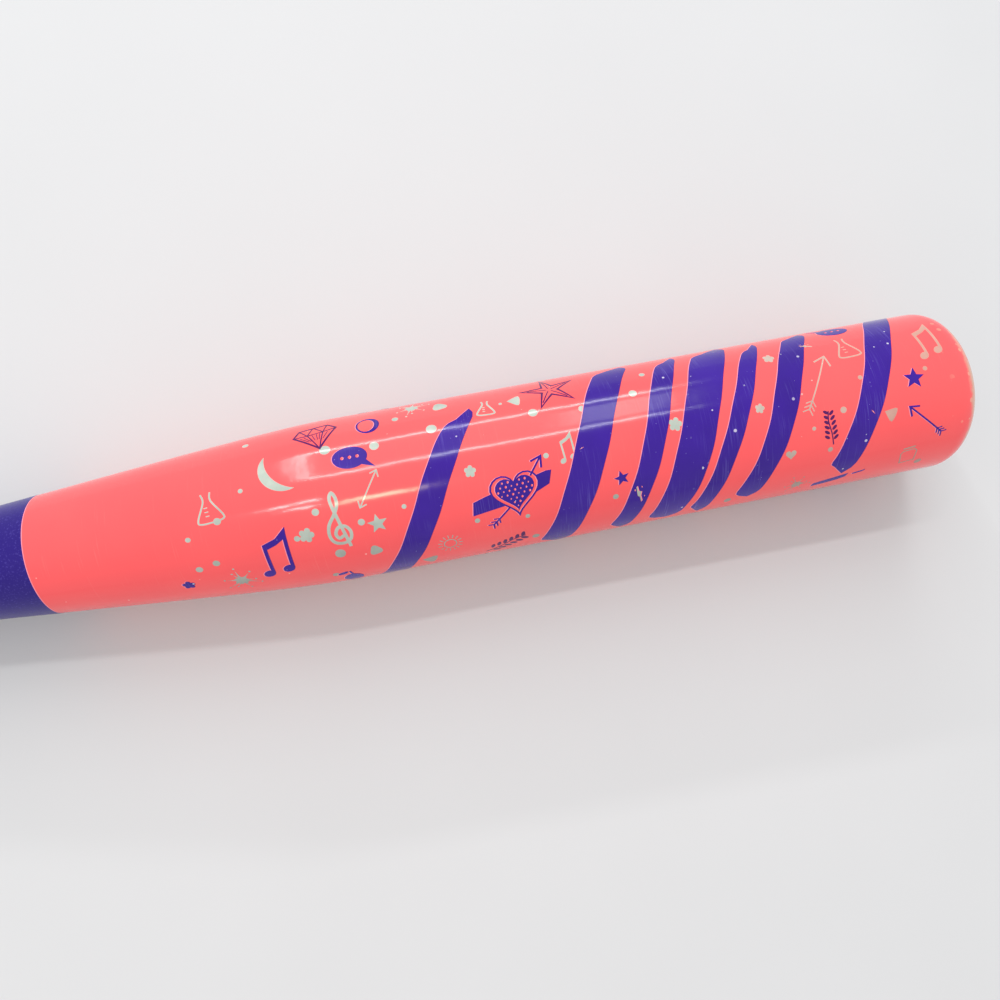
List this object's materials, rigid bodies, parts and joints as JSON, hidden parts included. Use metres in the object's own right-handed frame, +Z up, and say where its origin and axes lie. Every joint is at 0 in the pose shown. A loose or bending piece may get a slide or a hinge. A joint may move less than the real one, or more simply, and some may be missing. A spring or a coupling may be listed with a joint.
{
  "type": "T-ball bat",
  "caption": "Youth T-ball bat: hollow alloy barrel that tapers to a wrapped handle, with a pressed-in end cap and a round knob.",
  "frame": {"origin": "under the middle of the bat's length, on the ground plane that the barrel lies on", "axes": "+X along the bat's axis from the knob to the barrel's end, +Z up"},
  "size_m": [0.66, 0.057, 0.057],
  "materials": {
    "barrel_paint": "gloss",
    "knob_paint": "gloss",
    "cap_rubber": "satin",
    "adhesive": "satin",
    "weld_metal": "satin",
    "film": "satin",
    "grip_leather": "matte",
    "tape": "satin"
  },
  "bodies": {
    "root": {"barrel_shell": "barrel_paint", "end_cap": "cap_rubber", "end_cap_adhesive": "adhesive", "knob": "knob_paint", "knob_weld_bead": "weld_metal", "knob_plug": "cap_rubber", "knob_sticker": "film", "grip_underlay_tape": "film", "grip_wrap": "grip_leather", "grip_end_tape": "tape"}
  },
  "joints": []
}
